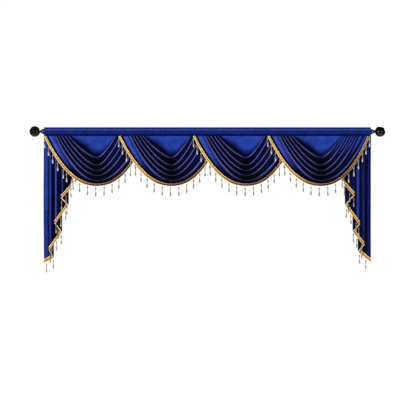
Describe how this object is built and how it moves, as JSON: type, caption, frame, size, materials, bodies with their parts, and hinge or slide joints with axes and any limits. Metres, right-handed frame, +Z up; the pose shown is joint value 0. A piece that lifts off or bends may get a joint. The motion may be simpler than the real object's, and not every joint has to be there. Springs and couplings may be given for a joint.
{
  "type": "velvet swag valance on a curtain rod",
  "caption": "Pleated velvet window valance with draped swags and stepped side tails, trimmed with gold braid and bead fringe, hanging by a sewn pocket from a black rod with ball ends.",
  "frame": {"origin": "on the rod's axis at mid-length, where the wall brackets' line of support is named", "axes": "+X along the rod to the right as seen from the room, +Y towards the window, +Z up"},
  "size_m": [3.236, 0.115, 1.3309],
  "materials": {
    "velvet": "royal blue cotton velvet with a short dense pile",
    "gold_braid": "light gold gimp braid with an ochre middle",
    "beads": "champagne-coloured glassy beads on thread",
    "black_lacquer": "glossy black lacquer"
  },
  "bodies": {
    "root": {"rod": "black_lacquer", "finial_left": "black_lacquer", "finial_right": "black_lacquer", "heading": "velvet", "swag_1": "velvet", "swag_2": "velvet", "swag_3": "velvet", "swag_4": "velvet", "jabot_left": "velvet", "jabot_right": "velvet", "braid_swag_1": "gold_braid", "braid_swag_2": "gold_braid", "braid_swag_3": "gold_braid", "braid_swag_4": "gold_braid", "braid_jabot_left": "gold_braid", "braid_jabot_right": "gold_braid", "bead_fringe_swag_1": "beads", "bead_fringe_swag_2": "beads", "bead_fringe_swag_3": "beads", "bead_fringe_swag_4": "beads", "bead_fringe_jabot_left": "beads", "bead_fringe_jabot_right": "beads"}
  },
  "joints": []
}
